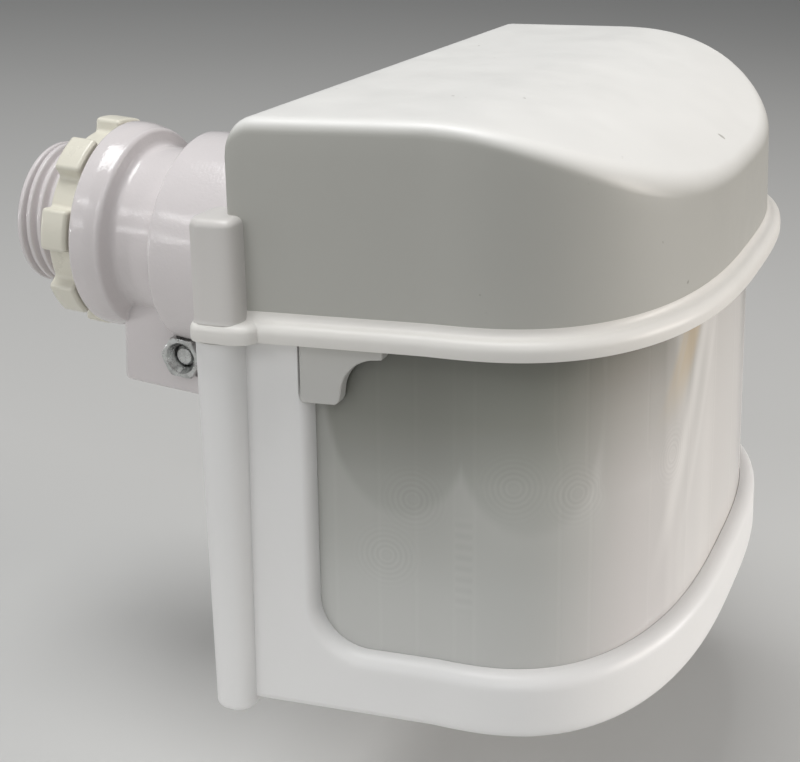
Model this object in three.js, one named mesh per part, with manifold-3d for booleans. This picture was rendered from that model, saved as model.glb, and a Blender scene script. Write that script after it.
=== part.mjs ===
// Outdoor motion sensor head on a threaded swivel arm. Millimetres, +Z up.
// The row frame sits on the arm: origin on the stem axis in the plane of the lock nut's outer face,
// +Y out along the threaded stem. The head is built in its own frame, centred on the swivel ball,
// with its lens facing -Y, and is then tilted about the ball.
import * as THREE from "three";
import { mergeVertices } from "three/addons/utils/BufferGeometryUtils.js";
import Module from "manifold-3d";

const wasm = await Module();
wasm.setup();

const GAP = 0.3;

// Driving dimensions: threaded stem and swivel arm (along Y, from the lock nut's outer face)
const THREAD_R = 10.4;
const THREAD_ROOT_R = 9.3;
const THREAD_PITCH = 1.814;
const THREAD_RIDGES = 4;
const STEM_END_Y = 7.6;
const WIRE_BORE_R = 6.5;
const FLANGE_Y = -4.4;
const FLANGE_R = 14.9;
const NECK_Y = -9.8;
const NECK_R = 12;
const CUP_Y = -17.2;
const CUP_R = 15.2;
const CUP_DEPTH = 5.9;
const BALL_Y = -29.6;
const BALL_R = 10.9;
const SEAT_R = 11.2;
const SEAT_WALL = 0.8;
const CAVITY_R = SEAT_R + SEAT_WALL + GAP;
const NUT_THICK = 4.1;
const NUT_R = 13.3;
const LUG_R = 14.9;
const LUG_WIDTH = 5.9;
const LUG_COUNT = 8;
const LUG_PHASE = THREE.MathUtils.degToRad(8);
const EAR_FACE = 7.2;
const EAR_BACK = -8;
const EAR_FRONT = -28.6;
const SLIT = 2.4;
const EAR_BOTTOM = -21.7;
const CLAMP_Y = -18.85;
const CLAMP_Z = -15.6;
const CLAMP_R = 1.45;
const HEX_R = 3.18;
const HEX_THICK = 2.4;
const NUT_SINK = 0.9;

// Driving dimensions: head (frame centred on the ball)
const HEAD_TILT = THREE.MathUtils.degToRad(-4.95);
const BACK_Y = -17.5;
const NOSE_START = -40;
const NOSE_DEPTH = 26.8;
const NOSE_POWER = 2.76;
const RIM_HALF = 43.45;
const SIDE_FLARE = 0.084;
const RIM_Z = 2.85;
const RIM_THICK = 2.2;
const HOOD_TOP = 26.65;
const HOOD_INSET = 1.7;
const HOOD_DRAFT = 0.044;
const ROOF_BEND_Y = -38.5;
const ROOF_RADIUS = 38;
const WALL = 2;
const BASE_Z = -41.5;
const BODY_INSET = 2;
const BODY_DRAFT = 0.06;
const WINDOW_Y = -26;
const WINDOW_Z = -34;
const WINDOW_CORNER = 6;
const LENS_WALL = 1;
const COLUMN_X = 43;
const COLUMN_Y = -16.1;
const COLUMN_R = 2.9;
const BOSS_R = 3.4;
const BOSS_TOP = 16.3;
const COLUMN_END = -42.4;
const COLUMN_TAPER = 0.01;
const COVER_FRONT = -17.2;
const COVER_REAR = -16;
const BOARD_FRONT = -33;
const BOARD_THICK = 1.6;
const POST_X = 27;
const POST_Z = [16, -32];
const LUG_X = 33;
const LUG_Z = [18.5, -37];
const SCREW_POST_R = 2.8;
const SCREW_POST_END = -27;
const SCREW_PILOT_R = 1.2;
const PIR_Z = -15;
const KNOB_X = -13;
const CONTROL_Y = -25;
const SLIDER_X = 11;
const SLIDER_TRAVEL = 4;

// Half-width of tools that cut right across the head
const ACROSS = 60;

// ---- geometry helpers ----

function solid(geometry) {
  const bare = geometry.clone();
  bare.deleteAttribute("normal");
  bare.deleteAttribute("uv");
  const merged = mergeVertices(bare, 1e-3);
  return new wasm.Manifold(
    new wasm.Mesh({
      numProp: 3,
      vertProperties: merged.attributes.position.array,
      triVerts: new Uint32Array(merged.index.array),
    }),
  );
}

function geometryOf(manifold) {
  const mesh = manifold.getMesh();
  const geometry = new THREE.BufferGeometry();
  geometry.setAttribute("position", new THREE.BufferAttribute(mesh.vertProperties, 3));
  geometry.setIndex(new THREE.BufferAttribute(mesh.triVerts, 1));
  const faceted = geometry.toNonIndexed();
  faceted.computeVertexNormals();
  return faceted;
}

const join = (...solids) => solids.reduce((all, next) => all.add(next));
const cut = (body, ...tools) => tools.reduce((all, next) => all.subtract(next), body);

function box(x0, x1, y0, y1, z0, z1) {
  const geometry = new THREE.BoxGeometry(x1 - x0, y1 - y0, z1 - z0);
  return geometry.translate((x0 + x1) / 2, (y0 + y1) / 2, (z0 + z1) / 2);
}

function cylinderZ(r, z0, z1, x = 0, y = 0, sides = 24) {
  const geometry = new THREE.CylinderGeometry(r, r, z1 - z0, sides);
  return geometry.rotateX(Math.PI / 2).translate(x, y, (z0 + z1) / 2);
}

function cylinderY(r, y0, y1, x = 0, z = 0, sides = 24) {
  const geometry = new THREE.CylinderGeometry(r, r, y1 - y0, sides);
  return geometry.translate(x, (y0 + y1) / 2, z);
}

function cylinderX(r, x0, x1, y = 0, z = 0, sides = 24) {
  const geometry = new THREE.CylinderGeometry(r, r, x1 - x0, sides);
  return geometry.rotateZ(Math.PI / 2).translate((x0 + x1) / 2, y, z);
}

// A profile drawn in Y and Z, extruded along X.
function prismX(shape, x0, x1) {
  const turn = new THREE.Matrix4().makeBasis(
    new THREE.Vector3(0, 1, 0),
    new THREE.Vector3(0, 0, 1),
    new THREE.Vector3(1, 0, 0),
  );
  const options = { depth: x1 - x0, bevelEnabled: false, curveSegments: 8 };
  return new THREE.ExtrudeGeometry(shape, options).applyMatrix4(turn).translate(x0, 0, 0);
}

function extrudeZ(shape, z0, z1) {
  const options = { depth: z1 - z0, bevelEnabled: false, curveSegments: 8 };
  return new THREE.ExtrudeGeometry(shape, options).translate(0, 0, z0);
}

// The head's D-shaped plan, drawn inwards from the rim's outline by inset.
function plan(inset, back = BACK_Y) {
  const half = RIM_HALF - inset;
  const depth = NOSE_DEPTH - inset;
  const backHalf = half + SIDE_FLARE * (back - NOSE_START);
  const points = [new THREE.Vector2(backHalf, back), new THREE.Vector2(-backHalf, back)];
  const steps = 24;
  for (let i = 0; i <= steps; i++) {
    const t = (Math.PI * i) / steps;
    const c = Math.cos(t);
    const x = -half * Math.sign(c) * Math.abs(c) ** (2 / NOSE_POWER);
    const y = NOSE_START - depth * Math.sin(t) ** (2 / NOSE_POWER);
    points.push(new THREE.Vector2(x, y));
  }
  return new THREE.Shape(points);
}

// Draws the plan wider below the rim and narrower above it.
function draft(geometry, slope) {
  const p = geometry.attributes.position;
  for (let i = 0; i < p.count; i++) {
    const drop = RIM_Z - p.getZ(i);
    p.setX(i, p.getX(i) * (1 + (slope * drop) / RIM_HALF));
    const ahead = p.getY(i) - NOSE_START;
    const share = drop < 0 ? 0.7 : 0.2;
    if (ahead < 0) p.setY(i, NOSE_START + ahead * (1 + (share * slope * drop) / NOSE_DEPTH));
  }
  return geometry;
}

const drafted = (inset, z0, z1, slope, back) => draft(extrudeZ(plan(inset, back), z0, z1), slope);

// ---- materials ----

const material = (options) => new THREE.MeshStandardMaterial(options);
const plastic = (color, roughness = 0.4) => material({ color, roughness, metalness: 0 });
const metal = (color, roughness = 0.35) => material({ color, roughness, metalness: 1 });
const WHITE = plastic(0xe6e4df);
const GLOSS_WHITE = plastic(0xe8e2e0, 0.2);
const IVORY = plastic(0xd6d2bd);
const ZINC = metal(0xb4b8b8);
const BOARD = plastic(0x2f6b45, 0.5);
const LENS = material({ color: 0xdfe2dc, roughness: 0.3, transparent: true, opacity: 0.75 });

function node(name, shape, finish) {
  const geometry = shape.isBufferGeometry ? shape : geometryOf(shape);
  const mesh = new THREE.Mesh(geometry, finish);
  mesh.name = name;
  return mesh;
}

// ---- swivel arm and its hardware (row frame) ----

function armProfile() {
  const points = [[WIRE_BORE_R, STEM_END_Y], [THREAD_R - 0.5, STEM_END_Y], [THREAD_R, STEM_END_Y - 0.5]];
  for (let i = 0; i < THREAD_RIDGES; i++) {
    const y = STEM_END_Y - 0.9 - THREAD_PITCH * i;
    points.push([THREAD_R, y], [THREAD_ROOT_R, y - 0.7], [THREAD_ROOT_R, y - 1], [THREAD_R, y - 1.6]);
  }
  points.push([THREAD_ROOT_R, STEM_END_Y - 9], [THREAD_ROOT_R, FLANGE_Y], [FLANGE_R - 1.3, FLANGE_Y]);
  points.push([FLANGE_R, FLANGE_Y - 1.2], [FLANGE_R, NECK_Y + 2.8], [FLANGE_R - 0.8, NECK_Y + 1.2]);
  points.push([NECK_R + 0.9, NECK_Y + 0.4], [NECK_R, NECK_Y], [NECK_R, CUP_Y]);
  points.push([CUP_R - 0.8, CUP_Y], [CUP_R - 0.2, CUP_Y - 0.6]);
  const mouthY = BALL_Y - CUP_DEPTH;
  points.push([CUP_R, CUP_Y - 2], [CUP_R, mouthY + 2.5], [14, mouthY]);
  const mouth = Math.acos(-CUP_DEPTH / CAVITY_R);
  const bore = Math.asin(WIRE_BORE_R / CAVITY_R);
  for (let i = 0; i <= 9; i++) {
    const a = mouth + ((bore - mouth) * i) / 9;
    points.push([CAVITY_R * Math.sin(a), BALL_Y + CAVITY_R * Math.cos(a)]);
  }
  points.push([WIRE_BORE_R, STEM_END_Y]);
  return points.map(([r, y]) => new THREE.Vector2(r, y));
}

// Six-sided prism about the clamp screw, points fore and aft.
function hexagonX(r, x0, x1) {
  const hex = cylinderX(r, x0, x1, 0, 0, 6).rotateX(Math.PI / 6);
  return hex.translate(0, CLAMP_Y, CLAMP_Z);
}

function earShape() {
  const corner = 1.2;
  const shape = new THREE.Shape();
  shape.moveTo(EAR_BACK, -8);
  shape.lineTo(EAR_FRONT, -8);
  shape.lineTo(EAR_FRONT, EAR_BOTTOM + corner);
  shape.absarc(EAR_FRONT + corner, EAR_BOTTOM + corner, corner, Math.PI, 1.5 * Math.PI, false);
  shape.lineTo(EAR_BACK - corner, EAR_BOTTOM);
  shape.absarc(EAR_BACK - corner, EAR_BOTTOM + corner, corner, -0.5 * Math.PI, 0, false);
  return shape;
}

function swivelArm() {
  const mouthY = BALL_Y - CUP_DEPTH;
  const turned = solid(new THREE.LatheGeometry(armProfile().reverse(), 36));
  const hollow = join(
    solid(new THREE.SphereGeometry(CAVITY_R + 0.2, 32, 20).translate(0, BALL_Y, 0)),
    solid(cylinderY(WIRE_BORE_R, BALL_Y, STEM_END_Y + 1)),
  );
  const ears = cut(solid(prismX(earShape(), -EAR_FACE, EAR_FACE)), hollow);
  return cut(
    join(turned, ears),
    solid(box(-SLIT / 2, SLIT / 2, mouthY - 1, -14, -26, -5)),
    solid(box(-SLIT / 2, SLIT / 2, -15, -4, -26, -13.2)),
    solid(cylinderX(CLAMP_R + 0.2, -12, 12, CLAMP_Y, CLAMP_Z, 20)),
    solid(hexagonX(HEX_R + GAP, -12, -EAR_FACE + NUT_SINK)),
    solid(cylinderX(3.9, EAR_FACE - NUT_SINK, 12, CLAMP_Y, CLAMP_Z)),
  );
}

function lockNut() {
  let nut = solid(cylinderY(NUT_R, -NUT_THICK, 0, 0, 0, 48));
  for (let i = 0; i < LUG_COUNT; i++) {
    const lug = box(-LUG_WIDTH / 2, LUG_WIDTH / 2, -NUT_THICK, 0, NUT_R - 2, LUG_R);
    nut = nut.add(solid(lug.rotateY(LUG_PHASE + (2 * Math.PI * i) / LUG_COUNT)));
  }
  return cut(nut, solid(cylinderY(THREAD_R + 0.3, -NUT_THICK - 1, 1, 0, 0, 48)));
}

function clampNut() {
  const face = NUT_SINK - EAR_FACE - GAP;
  const bore = solid(cylinderX(CLAMP_R + 0.25, face - HEX_THICK - 1, face + 1, CLAMP_Y, CLAMP_Z, 20));
  return cut(solid(hexagonX(HEX_R, face - HEX_THICK, face)), bore);
}

function clampScrew() {
  const seat = EAR_FACE - NUT_SINK + 1.2;
  const shank = solid(cylinderX(CLAMP_R, -EAR_FACE - 1.3, seat + 1, CLAMP_Y, CLAMP_Z, 20));
  const head = solid(cylinderX(3, seat, seat + 2.2, CLAMP_Y, CLAMP_Z));
  const slot = solid(box(seat + 1.2, seat + 3, CLAMP_Y - 4, CLAMP_Y + 4, CLAMP_Z - 0.4, CLAMP_Z + 0.4));
  return cut(join(shank, head), slot);
}

function clampWasher() {
  const face = EAR_FACE - NUT_SINK + GAP;
  const disc = solid(cylinderX(3.5, face, face + 0.6, CLAMP_Y, CLAMP_Z));
  return cut(disc, solid(cylinderX(CLAMP_R + 0.25, face - 1, face + 2, CLAMP_Y, CLAMP_Z, 24)));
}

// A thin friction liner that carries the back of the ball.
function ballSeat() {
  const inner = SEAT_R;
  const outer = SEAT_R + SEAT_WALL;
  const from = THREE.MathUtils.degToRad(42);
  const to = THREE.MathUtils.degToRad(94);
  const points = [];
  for (let i = 0; i <= 5; i++) {
    const a = from + ((to - from) * i) / 5;
    points.push(new THREE.Vector2(outer * Math.sin(a), outer * Math.cos(a)));
  }
  for (let i = 5; i >= 0; i--) {
    const a = from + ((to - from) * i) / 5;
    points.push(new THREE.Vector2(inner * Math.sin(a), inner * Math.cos(a)));
  }
  points.push(points[0].clone());
  return new THREE.LatheGeometry(points.reverse(), 32).translate(0, BALL_Y, 0);
}

// ---- head (frame centred on the ball) ----

// Ball, neck and shoulder stand out from the back plate; the leads pass through the middle.
function ballStud() {
  const ball = solid(new THREE.SphereGeometry(BALL_R, 32, 18));
  const neck = solid(cylinderY(5.5, COVER_FRONT, -6, 0, 0, 28));
  const shoulder = solid(cylinderY(8.5, COVER_FRONT + 0.5, -13.2, 0, 0, 28));
  return join(ball, neck, shoulder);
}

function rearCover() {
  const wide = 41.6;
  const narrow = COLUMN_X - BOSS_R - 1.6;
  const shoulder = BOSS_TOP + 0.5;
  const shape = new THREE.Shape();
  shape.moveTo(-narrow, BASE_Z + 0.5);
  shape.lineTo(narrow, BASE_Z + 0.5);
  shape.lineTo(narrow, shoulder);
  shape.lineTo(wide, shoulder);
  shape.lineTo(wide, HOOD_TOP - 3.2);
  shape.absarc(wide - 2, HOOD_TOP - 3.2, 2, 0, Math.PI / 2, false);
  shape.lineTo(-wide + 2, HOOD_TOP - 1.2);
  shape.absarc(-wide + 2, HOOD_TOP - 3.2, 2, Math.PI / 2, Math.PI, false);
  shape.lineTo(-wide, shoulder);
  shape.lineTo(-narrow, shoulder);
  const flat = extrudeZ(shape, -COVER_REAR, -COVER_FRONT).rotateX(Math.PI / 2);
  let plate = join(solid(flat), ballStud());
  for (const x of [-POST_X, POST_X]) {
    for (const z of POST_Z) {
      const post = solid(cylinderY(2.4, BOARD_FRONT + BOARD_THICK + GAP, COVER_FRONT + 0.5, x, z, 12));
      const pilot = solid(cylinderY(1.1, BOARD_FRONT, -24, x, z, 12));
      plate = cut(plate.add(post), pilot);
    }
  }
  for (const x of [-LUG_X, LUG_X]) {
    for (const z of LUG_Z) plate = cut(plate, solid(cylinderY(1.8, -20, -10, x, z, 20)));
  }
  return cut(plate, solid(cylinderY(3.4, -20, 20, 0, 0, 20)));
}

// Side view of everything under the hood's roof, lowered by drop.
function roofShape(drop, back, floor) {
  const shape = new THREE.Shape();
  const top = HOOD_TOP - drop;
  shape.moveTo(back, floor);
  shape.lineTo(back, top);
  shape.lineTo(ROOF_BEND_Y, top);
  const sweep = Math.asin(30 / ROOF_RADIUS);
  shape.absarc(ROOF_BEND_Y, top - ROOF_RADIUS, ROOF_RADIUS, Math.PI / 2, Math.PI / 2 + sweep, false);
  shape.lineTo(ROOF_BEND_Y - 30, floor);
  return shape;
}

// Corner tab with a quarter-round cut, in side view.
function gussetShape(grow = 0) {
  const shape = new THREE.Shape();
  const rear = WINDOW_Y + 0.9 + grow;
  shape.moveTo(rear, RIM_Z + 2);
  shape.lineTo(rear, -4.2 - grow);
  shape.lineTo(-29.5, -4.2 - grow);
  shape.lineTo(-29.9 - grow, -3);
  shape.absarc(-34, -2.6, 4, 0, Math.PI / 2, false);
  shape.lineTo(-34.8 - grow, 1.3);
  shape.lineTo(-34.8 - grow, RIM_Z + 2);
  return shape;
}

// Round post under a back-plate screw, from the plate inwards.
const screwPost = (side, z) => solid(cylinderY(SCREW_POST_R, SCREW_POST_END, BACK_Y, side * LUG_X, z, 16));
const screwPilot = (side, z) => solid(cylinderY(SCREW_PILOT_R, -25.5, -16, side * LUG_X, z, 16));

function leaningCylinder(side, r, z0, z1, sides = 24, taper = 0) {
  const lean = Math.atan(BODY_DRAFT * (COLUMN_X / RIM_HALF));
  const length = z1 - z0;
  const geometry = new THREE.CylinderGeometry(r, r - taper * length, length, sides);
  geometry.rotateX(Math.PI / 2).translate(0, 0, (z0 + z1) / 2 - RIM_Z);
  return geometry.rotateY(-side * lean).translate(side * COLUMN_X, COLUMN_Y, RIM_Z);
}

function hood() {
  const outer = solid(drafted(HOOD_INSET, RIM_Z, HOOD_TOP, HOOD_DRAFT)).intersect(
    solid(prismX(roofShape(0, BACK_Y, RIM_Z), -ACROSS, ACROSS)),
  );
  const inner = solid(drafted(HOOD_INSET + WALL, 0, HOOD_TOP, HOOD_DRAFT, BACK_Y + 6)).intersect(
    solid(prismX(roofShape(WALL, BACK_Y + 5, 0), -ACROSS, ACROSS)),
  );
  const rim = join(
    solid(extrudeZ(plan(0), RIM_Z, RIM_Z + 1.5)),
    solid(extrudeZ(plan(0.6), RIM_Z + 1, RIM_Z + RIM_THICK)),
  );
  const skin = cut(
    solid(drafted(BODY_INSET, -8, RIM_Z + 1, BODY_DRAFT)),
    solid(drafted(BODY_INSET + 1.7, -9, RIM_Z + 2, BODY_DRAFT, BACK_Y + 6)),
  );
  const gussets = skin.intersect(solid(prismX(gussetShape(), -ACROSS, ACROSS)));
  let body = cut(join(outer, rim), inner);
  for (const side of [-1, 1]) {
    const boss = join(
      solid(leaningCylinder(side, BOSS_R, RIM_Z, BOSS_TOP)),
      solid(leaningCylinder(side, BOSS_R + 0.4, RIM_Z, RIM_Z + RIM_THICK)),
    );
    const x = side * LUG_X;
    const web = solid(box(x - 0.8, x + 0.8, SCREW_POST_END, BACK_Y, LUG_Z[0] + 2, HOOD_TOP - 1));
    body = join(body, boss, screwPost(side, LUG_Z[0]), web);
    body = cut(body, solid(leaningCylinder(side, 1.5, 0, BOSS_TOP - 2.5, 20)), screwPilot(side, LUG_Z[0]));
  }
  return body.add(gussets);
}

function windowShape() {
  const shape = new THREE.Shape();
  shape.moveTo(WINDOW_Y, 10);
  shape.lineTo(-90, 10);
  shape.lineTo(-90, WINDOW_Z);
  shape.lineTo(WINDOW_Y - WINDOW_CORNER, WINDOW_Z);
  shape.absarc(WINDOW_Y - WINDOW_CORNER, WINDOW_Z + WINDOW_CORNER, WINDOW_CORNER, -Math.PI / 2, 0, false);
  return shape;
}

function lowerHousing() {
  const top = RIM_Z - GAP;
  const shell = cut(
    solid(drafted(BODY_INSET, BASE_Z, top, BODY_DRAFT)),
    solid(drafted(BODY_INSET + WALL, BASE_Z + WALL, top + 1, BODY_DRAFT, BACK_Y + 6)),
  );
  let body = cut(
    shell,
    solid(prismX(windowShape(), -ACROSS, ACROSS)),
    solid(prismX(gussetShape(GAP), -ACROSS, ACROSS)),
    solid(cylinderZ(5, BASE_Z - 1, BASE_Z + 4, KNOB_X, CONTROL_Y)),
    solid(box(SLIDER_X - 6.4, SLIDER_X + 6.4, CONTROL_Y - 1.9, CONTROL_Y + 1.9, BASE_Z - 1, BASE_Z + 4)),
  );
  for (const side of [-1, 1]) {
    const column = solid(leaningCylinder(side, COLUMN_R, COLUMN_END, top, 24, COLUMN_TAPER));
    body = cut(
      join(body, column, screwPost(side, LUG_Z[1])),
      solid(leaningCylinder(side, 1.5, -8, top + 1, 20)),
      solid(leaningCylinder(side, 2.1, COLUMN_END - 1, -7, 20)),
      screwPilot(side, LUG_Z[1]),
    );
  }
  return body;
}

function uBand(inset, wall, z0, z1, rear) {
  const ring = cut(
    solid(drafted(inset, z0, z1, BODY_DRAFT)),
    solid(drafted(inset + wall, z0 - 1, z1 + 1, BODY_DRAFT, BACK_Y + 6)),
  );
  return ring.intersect(solid(box(-ACROSS, ACROSS, -90, rear, z0 - 1, z1 + 1)));
}

const fresnelLens = () => uBand(BODY_INSET + WALL + GAP, LENS_WALL, -37, RIM_Z - 0.5, -23);

function lensRetainer() {
  const inset = BODY_INSET + WALL + 2 * GAP + LENS_WALL;
  const sill = uBand(inset, 1.6, -38.5, -35, -20);
  const posts = uBand(inset, 1.6, -37, -0.5, -20).intersect(solid(box(-ACROSS, ACROSS, -24.5, -20, -40, 0)));
  return sill.add(posts);
}

const hoodGasket = () => uBand(HOOD_INSET + WALL + 0.9, 1.6, RIM_Z, RIM_Z + 2, -20.5);

function columnScrew(side) {
  const head = solid(leaningCylinder(side, 1.8, -9.5, -8.3, 16));
  const shank = solid(leaningCylinder(side, 1.2, -9, 11.5, 16));
  return join(head, shank);
}

function coverScrew(x, z) {
  const face = COVER_REAR + GAP;
  const head = solid(cylinderY(2.9, face, face + 1.7, x, z, 20));
  const shank = solid(cylinderY(1, -24, face + 1, x, z, 12));
  const slot = solid(box(x - 4, x + 4, face + 0.9, face + 3, z - 0.4, z + 0.4));
  return cut(join(head, shank), slot);
}

function boardScrew(x, z) {
  const face = BOARD_FRONT - GAP;
  const head = solid(cylinderY(2.2, face - 1.4, face, x, z, 16));
  const shank = solid(cylinderY(0.9, face - 0.5, -26.5, x, z, 12));
  return join(head, shank);
}

function circuitBoard() {
  let board = solid(box(-31, 31, BOARD_FRONT, BOARD_FRONT + BOARD_THICK, -35, 16));
  for (const x of [-POST_X, POST_X]) {
    for (const z of POST_Z) board = cut(board, solid(cylinderY(1.3, -40, -20, x, z, 16)));
  }
  return board;
}

function pirSensor() {
  const foot = BOARD_FRONT - 3.6;
  const can = solid(cylinderY(4.1, foot - 4, foot, 0, PIR_Z));
  return join(can, solid(cylinderY(4.6, foot - 0.6, foot, 0, PIR_Z)));
}

function pirSpacer() {
  const ring = solid(cylinderY(4.9, BOARD_FRONT - 3.3, BOARD_FRONT - GAP, 0, PIR_Z));
  return cut(ring, solid(cylinderY(3.2, -50, -20, 0, PIR_Z)));
}

function rangeKnob() {
  const dial = solid(cylinderZ(4.6, BASE_Z - 1.2, BASE_Z + 1.8, KNOB_X, CONTROL_Y));
  const stem = solid(cylinderZ(1.5, BASE_Z + 1, -34, KNOB_X, CONTROL_Y, 16));
  const slot = solid(box(KNOB_X - 5, KNOB_X + 5, CONTROL_Y - 0.5, CONTROL_Y + 0.5, BASE_Z - 2, BASE_Z - 0.4));
  return cut(join(dial, stem), slot);
}

function rangePotentiometer() {
  const body = solid(box(KNOB_X - 4.8, KNOB_X + 4.8, CONTROL_Y - 4.8, CONTROL_Y + 4.8, -37.5, -32));
  return cut(body, solid(cylinderZ(1.8, -40, -30, KNOB_X, CONTROL_Y, 20)));
}

function timeSlider() {
  const nub = solid(box(SLIDER_X - 2, SLIDER_X + 2, CONTROL_Y - 1.5, CONTROL_Y + 1.5, BASE_Z - 1.1, -38));
  return nub.add(solid(box(SLIDER_X - 2.6, SLIDER_X + 2.6, CONTROL_Y - 2.8, CONTROL_Y + 2.8, -39.1, -37.9)));
}

function timeSwitch() {
  const reach = 2.6 + SLIDER_TRAVEL + 0.8;
  return box(SLIDER_X - reach, SLIDER_X + reach, CONTROL_Y - 3.2, CONTROL_Y + 3.2, -37.5, -32);
}

// ---- assembly ----

const sensor = new THREE.Group();
sensor.add(
  node("swivel_arm", swivelArm(), GLOSS_WHITE),
  node("lock_nut", lockNut(), IVORY),
  node("clamp_nut", clampNut(), ZINC),
  node("clamp_screw", clampScrew(), ZINC),
  node("clamp_washer", clampWasher(), ZINC),
  node("ball_seat", ballSeat(), plastic(0xcfcac0)),
);

const head = new THREE.Group();
head.position.set(0, BALL_Y, 0);
head.rotation.x = HEAD_TILT;
sensor.add(head);

head.add(
  node("rear_cover", rearCover(), WHITE),
  node("hood", hood(), WHITE),
  node("lower_housing", lowerHousing(), WHITE),
  node("fresnel_lens", fresnelLens(), LENS),
  node("lens_retainer", lensRetainer(), plastic(0xdcdad2)),
  node("hood_gasket", hoodGasket(), plastic(0x3a3a3a, 0.9)),
);
head.add(
  node("column_screw_left", columnScrew(-1), ZINC),
  node("column_screw_right", columnScrew(1), ZINC),
);
LUG_Z.forEach((z, row) => {
  head.add(node(`cover_screw_left_${row + 1}`, coverScrew(-LUG_X, z), ZINC));
  head.add(node(`cover_screw_right_${row + 1}`, coverScrew(LUG_X, z), ZINC));
});
POST_Z.forEach((z, row) => {
  head.add(node(`board_screw_left_${row + 1}`, boardScrew(-POST_X, z), ZINC));
  head.add(node(`board_screw_right_${row + 1}`, boardScrew(POST_X, z), ZINC));
});

const boardFace = BOARD_FRONT - GAP;
const boardRear = BOARD_FRONT + BOARD_THICK + GAP;
head.add(
  node("circuit_board", circuitBoard(), BOARD),
  node("pir_sensor", pirSensor(), metal(0xc8c4b4)),
  node("pir_spacer", pirSpacer(), plastic(0x222222)),
  node("relay", box(-23, -4, boardFace - 15, boardFace, 5.5, 17), plastic(0x1d2a4a)),
  node("film_capacitor", box(4, 22, boardFace - 9, boardFace, 6, 18), plastic(0xd8a23a)),
  node("electrolytic_capacitor", cylinderX(4.8, -8, 9, boardRear + 5, 15.5), plastic(0x1c2233)),
  node("photocell", cylinderY(2.5, boardFace - 2, boardFace, 13, -28, 24), plastic(0xc9772e)),
  node("status_led", cylinderY(1.5, boardFace - 5, boardFace, -13, -28, 20), plastic(0xb01c18, 0.2)),
  node("control_board", box(-22, 22, -30.6, -19.2, -31.7, -30.1), BOARD),
  node("range_potentiometer", rangePotentiometer(), plastic(0x2a4d8c)),
  node("range_knob", rangeKnob(), plastic(0x2b2b2b)),
  node("time_switch", timeSwitch(), plastic(0x2b2b2b)),
  node("time_slider", timeSlider(), plastic(0xdcdad2)),
);

export default sensor;
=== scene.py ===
"""Outdoor motion sensor: a hooded head with a wrap-round lens on a ball swivel and threaded arm.

Shapes are drawn in millimetres, the head in its own frame centred on the swivel ball, and are
turned into metres in the row frame when each piece is made.
"""

import math

import bmesh
import bpy
from mathutils import Matrix, Vector
from mathutils.geometry import tessellate_polygon


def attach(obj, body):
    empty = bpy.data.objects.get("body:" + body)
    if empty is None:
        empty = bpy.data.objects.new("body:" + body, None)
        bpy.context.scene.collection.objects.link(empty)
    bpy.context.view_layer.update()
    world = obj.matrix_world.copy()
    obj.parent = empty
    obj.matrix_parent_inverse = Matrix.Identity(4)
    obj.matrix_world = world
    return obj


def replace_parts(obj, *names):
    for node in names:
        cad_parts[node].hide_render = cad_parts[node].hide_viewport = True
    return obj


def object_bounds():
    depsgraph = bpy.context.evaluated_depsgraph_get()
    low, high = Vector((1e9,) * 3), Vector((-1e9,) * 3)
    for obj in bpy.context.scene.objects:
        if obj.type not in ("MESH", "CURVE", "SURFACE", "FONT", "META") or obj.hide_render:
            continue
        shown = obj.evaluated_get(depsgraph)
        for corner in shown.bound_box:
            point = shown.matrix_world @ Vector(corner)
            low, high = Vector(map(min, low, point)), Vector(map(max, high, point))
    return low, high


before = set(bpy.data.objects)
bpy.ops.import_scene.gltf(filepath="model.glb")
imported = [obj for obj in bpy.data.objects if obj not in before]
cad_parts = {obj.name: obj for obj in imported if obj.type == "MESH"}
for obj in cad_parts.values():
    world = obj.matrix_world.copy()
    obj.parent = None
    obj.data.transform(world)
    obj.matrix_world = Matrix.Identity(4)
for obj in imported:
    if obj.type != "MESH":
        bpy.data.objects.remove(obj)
cad_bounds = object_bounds()

MM = 0.001
TURN = 2 * math.pi

# Head, in its own frame
BALL_Y = -29.6
HEAD_TILT = math.radians(-4.95)
BACK_Y = -17.5
NOSE_START = -40.0
NOSE_DEPTH = 26.8
NOSE_POWER = 2.76
RIM_HALF = 43.45
SIDE_FLARE = 0.084
RIM_Z = 2.85
RIM_THICK = 2.2
HOOD_TOP = 26.65
HOOD_INSET = 1.7
HOOD_DRAFT = 0.044
HOOD_NOSE_SHARE = 0.7
HOOD_WALL = 1.5
ROOF_BEND_Y = -38.5
ROOF_RADIUS = 38.0
ROOF_FILLET = 1.7
CORNER_FILLET = 2.2
TIP_FILLET = 1.2
BACK_FILLET = 3.2
BACK_EDGE = 0.7
WALL = 2.0
BASE_Z = -41.5
BODY_TOP = RIM_Z - 0.3
BODY_INSET = 2.0
BODY_DRAFT = 0.06
BODY_NOSE_SHARE = 0.2
WINDOW_Y = -26.0
WINDOW_Z = -34.0
WINDOW_CORNER = 6.0
FOOT_FILLET = 0.9
LIP_DEPTH = 1.65
TAB_LOW = -4.1
BEVEL_SIDE = 1.0
BEVEL_SILL = 1.7
COLUMN_X = 43.0
COLUMN_Y = -16.1
COLUMN_R = 2.9
COLUMN_TAPER = 0.01
COLUMN_END = -42.4
BOSS_R = 3.4
BOSS_TOP = 16.3
COLUMN_LEAN = BODY_DRAFT * COLUMN_X / RIM_HALF
COVER_REAR = -16.0
COVER_FRONT = -17.2
KNOB = (-13.0, -25.0)
SLIDER = (11.0, -25.0)

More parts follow.
